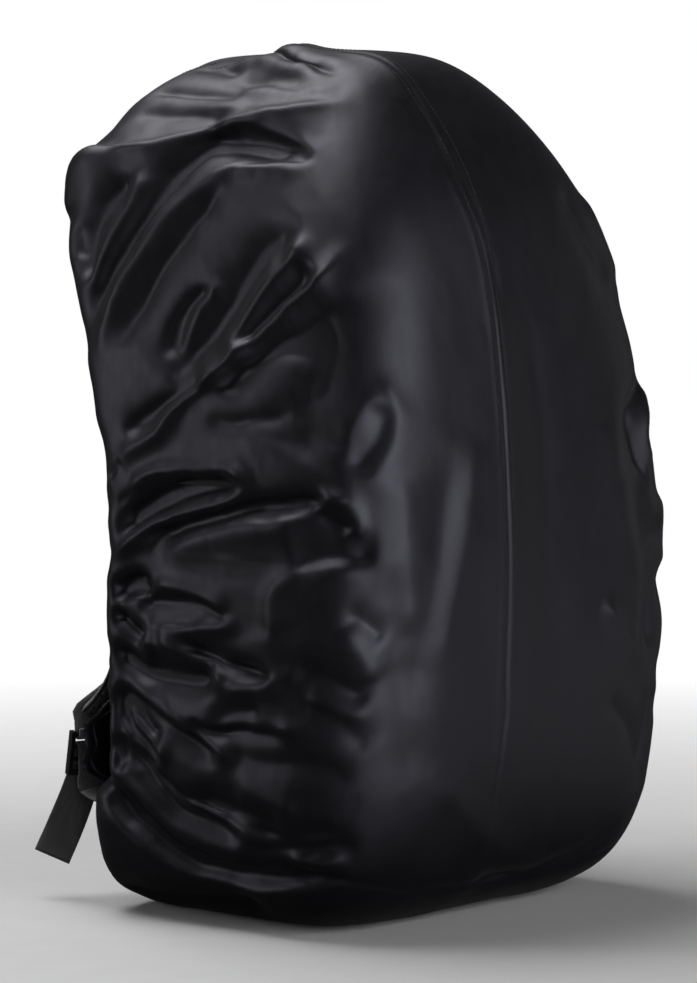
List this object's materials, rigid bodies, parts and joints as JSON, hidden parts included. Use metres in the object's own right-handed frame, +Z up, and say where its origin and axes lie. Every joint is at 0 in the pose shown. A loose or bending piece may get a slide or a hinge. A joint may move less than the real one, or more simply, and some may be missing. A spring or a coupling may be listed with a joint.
{
  "type": "rucksack with rain cover",
  "caption": "Upright rucksack with an elasticated rain cover drawn over it; the back harness, webbing and buckles stay outside the hem",
  "frame": {"origin": "on the floor, at the middle of the flat base of the cover", "axes": "+Z up, +Y towards the wearer's back (harness side), -Y the covered front, +X the wearer's right; rest pose is the bag standing with the cover on"},
  "size_m": [0.328, 0.3169, 0.54],
  "materials": {
    "cover_fabric": "coated nylon ripstop, low sheen",
    "cover_tape": "heat-bonded seam tape",
    "elastic": "braided elastic cord",
    "hard_plastic": "moulded acetal, fine texture",
    "spring_steel": "drawn wire",
    "pack_fabric": "textured polyester",
    "mesh_foam": "foam under spacer mesh",
    "frame_plastic": "extruded sheet",
    "stay_aluminium": "bent flat bar",
    "webbing": "woven tape",
    "zip_tape": "knitted tape",
    "zip_coil": "nylon coil",
    "slider_metal": "die cast, black",
    "base_fabric": "coated heavy nylon"
  },
  "bodies": {
    "pack": {"pack_shell": "pack_fabric", "back_panel": "mesh_foam", "back_pad_left": "mesh_foam", "back_pad_right": "mesh_foam", "lumbar_pad": "mesh_foam", "frame_sheet": "frame_plastic", "frame_stays": "stay_aluminium", "front_pocket": "pack_fabric", "side_pocket_left": "pack_fabric", "side_pocket_right": "pack_fabric", "base_panel": "base_fabric", "zip_tape": "zip_tape", "zip_coil": "zip_coil", "webbing_tab_left": "webbing", "webbing_tab_right": "webbing", "lower_webbing_left": "webbing", "lower_webbing_right": "webbing"},
    "cover": {"cover_shell": "cover_fabric", "cover_hem": "cover_fabric", "cover_seam_tape": "cover_tape", "hem_cord": "elastic", "cord_lock_body": "hard_plastic", "cord_lock_spring": "spring_steel", "cord_ends": "elastic"},
    "lock_plunger": {"cord_lock_plunger": "hard_plastic"},
    "haul": {"haul_loop": "webbing"},
    "zip_left": {"zip_slider_left": "slider_metal"},
    "zip_right": {"zip_slider_right": "slider_metal"},
    "strap_left": {"shoulder_pad_left": "mesh_foam", "strap_webbing_left": "webbing"},
    "lock_left": {"ladder_lock_left": "hard_plastic", "webbing_tail_left": "webbing"},
    "strap_right": {"shoulder_pad_right": "mesh_foam", "strap_webbing_right": "webbing"},
    "lock_right": {"ladder_lock_right": "hard_plastic", "webbing_tail_right": "webbing"},
    "sternum_left": {"sternum_slider_left": "hard_plastic", "sternum_webbing_left": "webbing", "sternum_buckle_plug": "hard_plastic"},
    "sternum_right": {"sternum_slider_right": "hard_plastic", "sternum_webbing_right": "webbing", "sternum_buckle_socket": "hard_plastic"}
  },
  "joints": [
    {"name": "cover_pull", "type": "slide", "parent": "pack", "child": "cover", "axis": [0, -1, 0], "range_m": [0, 0.33], "deforming": ["cover_hem", "hem_cord", "cord_ends", "cord_lock_body", "cord_lock_spring", "cord_lock_plunger"]},
    {"name": "cord_lock_press", "type": "slide", "parent": "cover", "child": "lock_plunger", "axis": [0, 0, -1], "range_m": [0, 0.004], "stiffness_N_per_m": 600, "springref_m": -0.002, "deforming": ["cord_lock_spring"]},
    {"name": "haul_loop_swing", "type": "hinge", "parent": "pack", "child": "haul", "pos_m": [0, 0.11673, 0.462], "axis": [1, 0, 0], "range_deg": [0, 80]},
    {"name": "strap_left_swing", "type": "hinge", "parent": "pack", "child": "strap_left", "pos_m": [-0.054, 0.118, 0.448], "axis": [1, 0, 0], "range_deg": [0, 14], "deforming": ["lower_webbing_left"]},
    {"name": "strap_right_swing", "type": "hinge", "parent": "pack", "child": "strap_right", "pos_m": [0.054, 0.118, 0.448], "axis": [1, 0, 0], "range_deg": [0, 14], "deforming": ["lower_webbing_right"]},
    {"name": "lock_left_tilt", "type": "hinge", "parent": "strap_left", "child": "lock_left", "pos_m": [-0.117, 0.146, 0.106], "axis": [0.9659, -0.2588, 0], "range_deg": [-10, 25], "deforming": ["lower_webbing_left"]},
    {"name": "lock_right_tilt", "type": "hinge", "parent": "strap_right", "child": "lock_right", "pos_m": [0.117, 0.146, 0.106], "axis": [0.9659, 0.2588, 0], "range_deg": [-10, 25], "deforming": ["lower_webbing_right"]},
    {"name": "sternum_left_slide", "type": "slide", "parent": "strap_left", "child": "sternum_left", "axis": [0.0872, 0, 0.9962], "range_m": [-0.015, 0.04]},
    {"name": "sternum_right_slide", "type": "slide", "parent": "strap_right", "child": "sternum_right", "axis": [-0.0872, 0, 0.9962], "range_m": [-0.015, 0.04]},
    {"name": "zip_left_slide", "type": "slide", "parent": "pack", "child": "zip_left", "axis": [0.0002, -0.0452, 0.999], "range_m": [0, 0.066]},
    {"name": "zip_right_slide", "type": "slide", "parent": "pack", "child": "zip_right", "axis": [-0.0002, -0.0452, 0.999], "range_m": [0, 0.066]}
  ]
}
